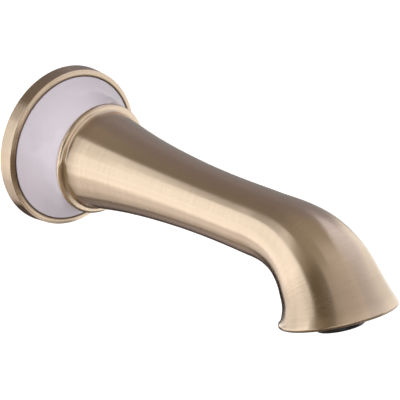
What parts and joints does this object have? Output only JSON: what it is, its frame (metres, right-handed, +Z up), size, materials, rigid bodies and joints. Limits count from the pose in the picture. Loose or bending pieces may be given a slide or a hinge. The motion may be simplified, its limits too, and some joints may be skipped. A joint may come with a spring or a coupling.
{
  "type": "bath spout",
  "caption": "Wall-mounted bath spout: trumpet-footed brass body with a belled outlet and aerator, a porcelain collar and a round rosette on a threaded wall nipple.",
  "frame": {"origin": "middle of the wall plane, on the axis of the inlet thread, where the rosette's back face meets the wall", "axes": "+Z up, -Y straight out from the wall along the spout, +X to the right as seen from the room"},
  "size_m": [0.07, 0.2078, 0.07],
  "materials": {
    "antique_brass": "brushed, antiqued and lacquered",
    "white_porcelain": "glossy white glaze",
    "raw_brass": "turned",
    "black_rubber": "moulded",
    "grey_foam": "closed-cell foam",
    "black_plastic": "moulded",
    "grey_plastic": "moulded"
  },
  "bodies": {
    "root": {"spout_body": "antique_brass", "rosette": "antique_brass", "porcelain_collar": "white_porcelain", "collar_front_gasket": "black_rubber", "collar_rear_gasket": "black_rubber", "wall_gasket": "grey_foam", "wall_nipple": "raw_brass", "nipple_seal": "black_rubber", "aerator_seal": "black_rubber", "aerator_housing": "black_plastic", "aerator_strainer": "grey_plastic", "aerator_mixer": "grey_plastic", "aerator_screen": "grey_plastic"}
  },
  "joints": []
}
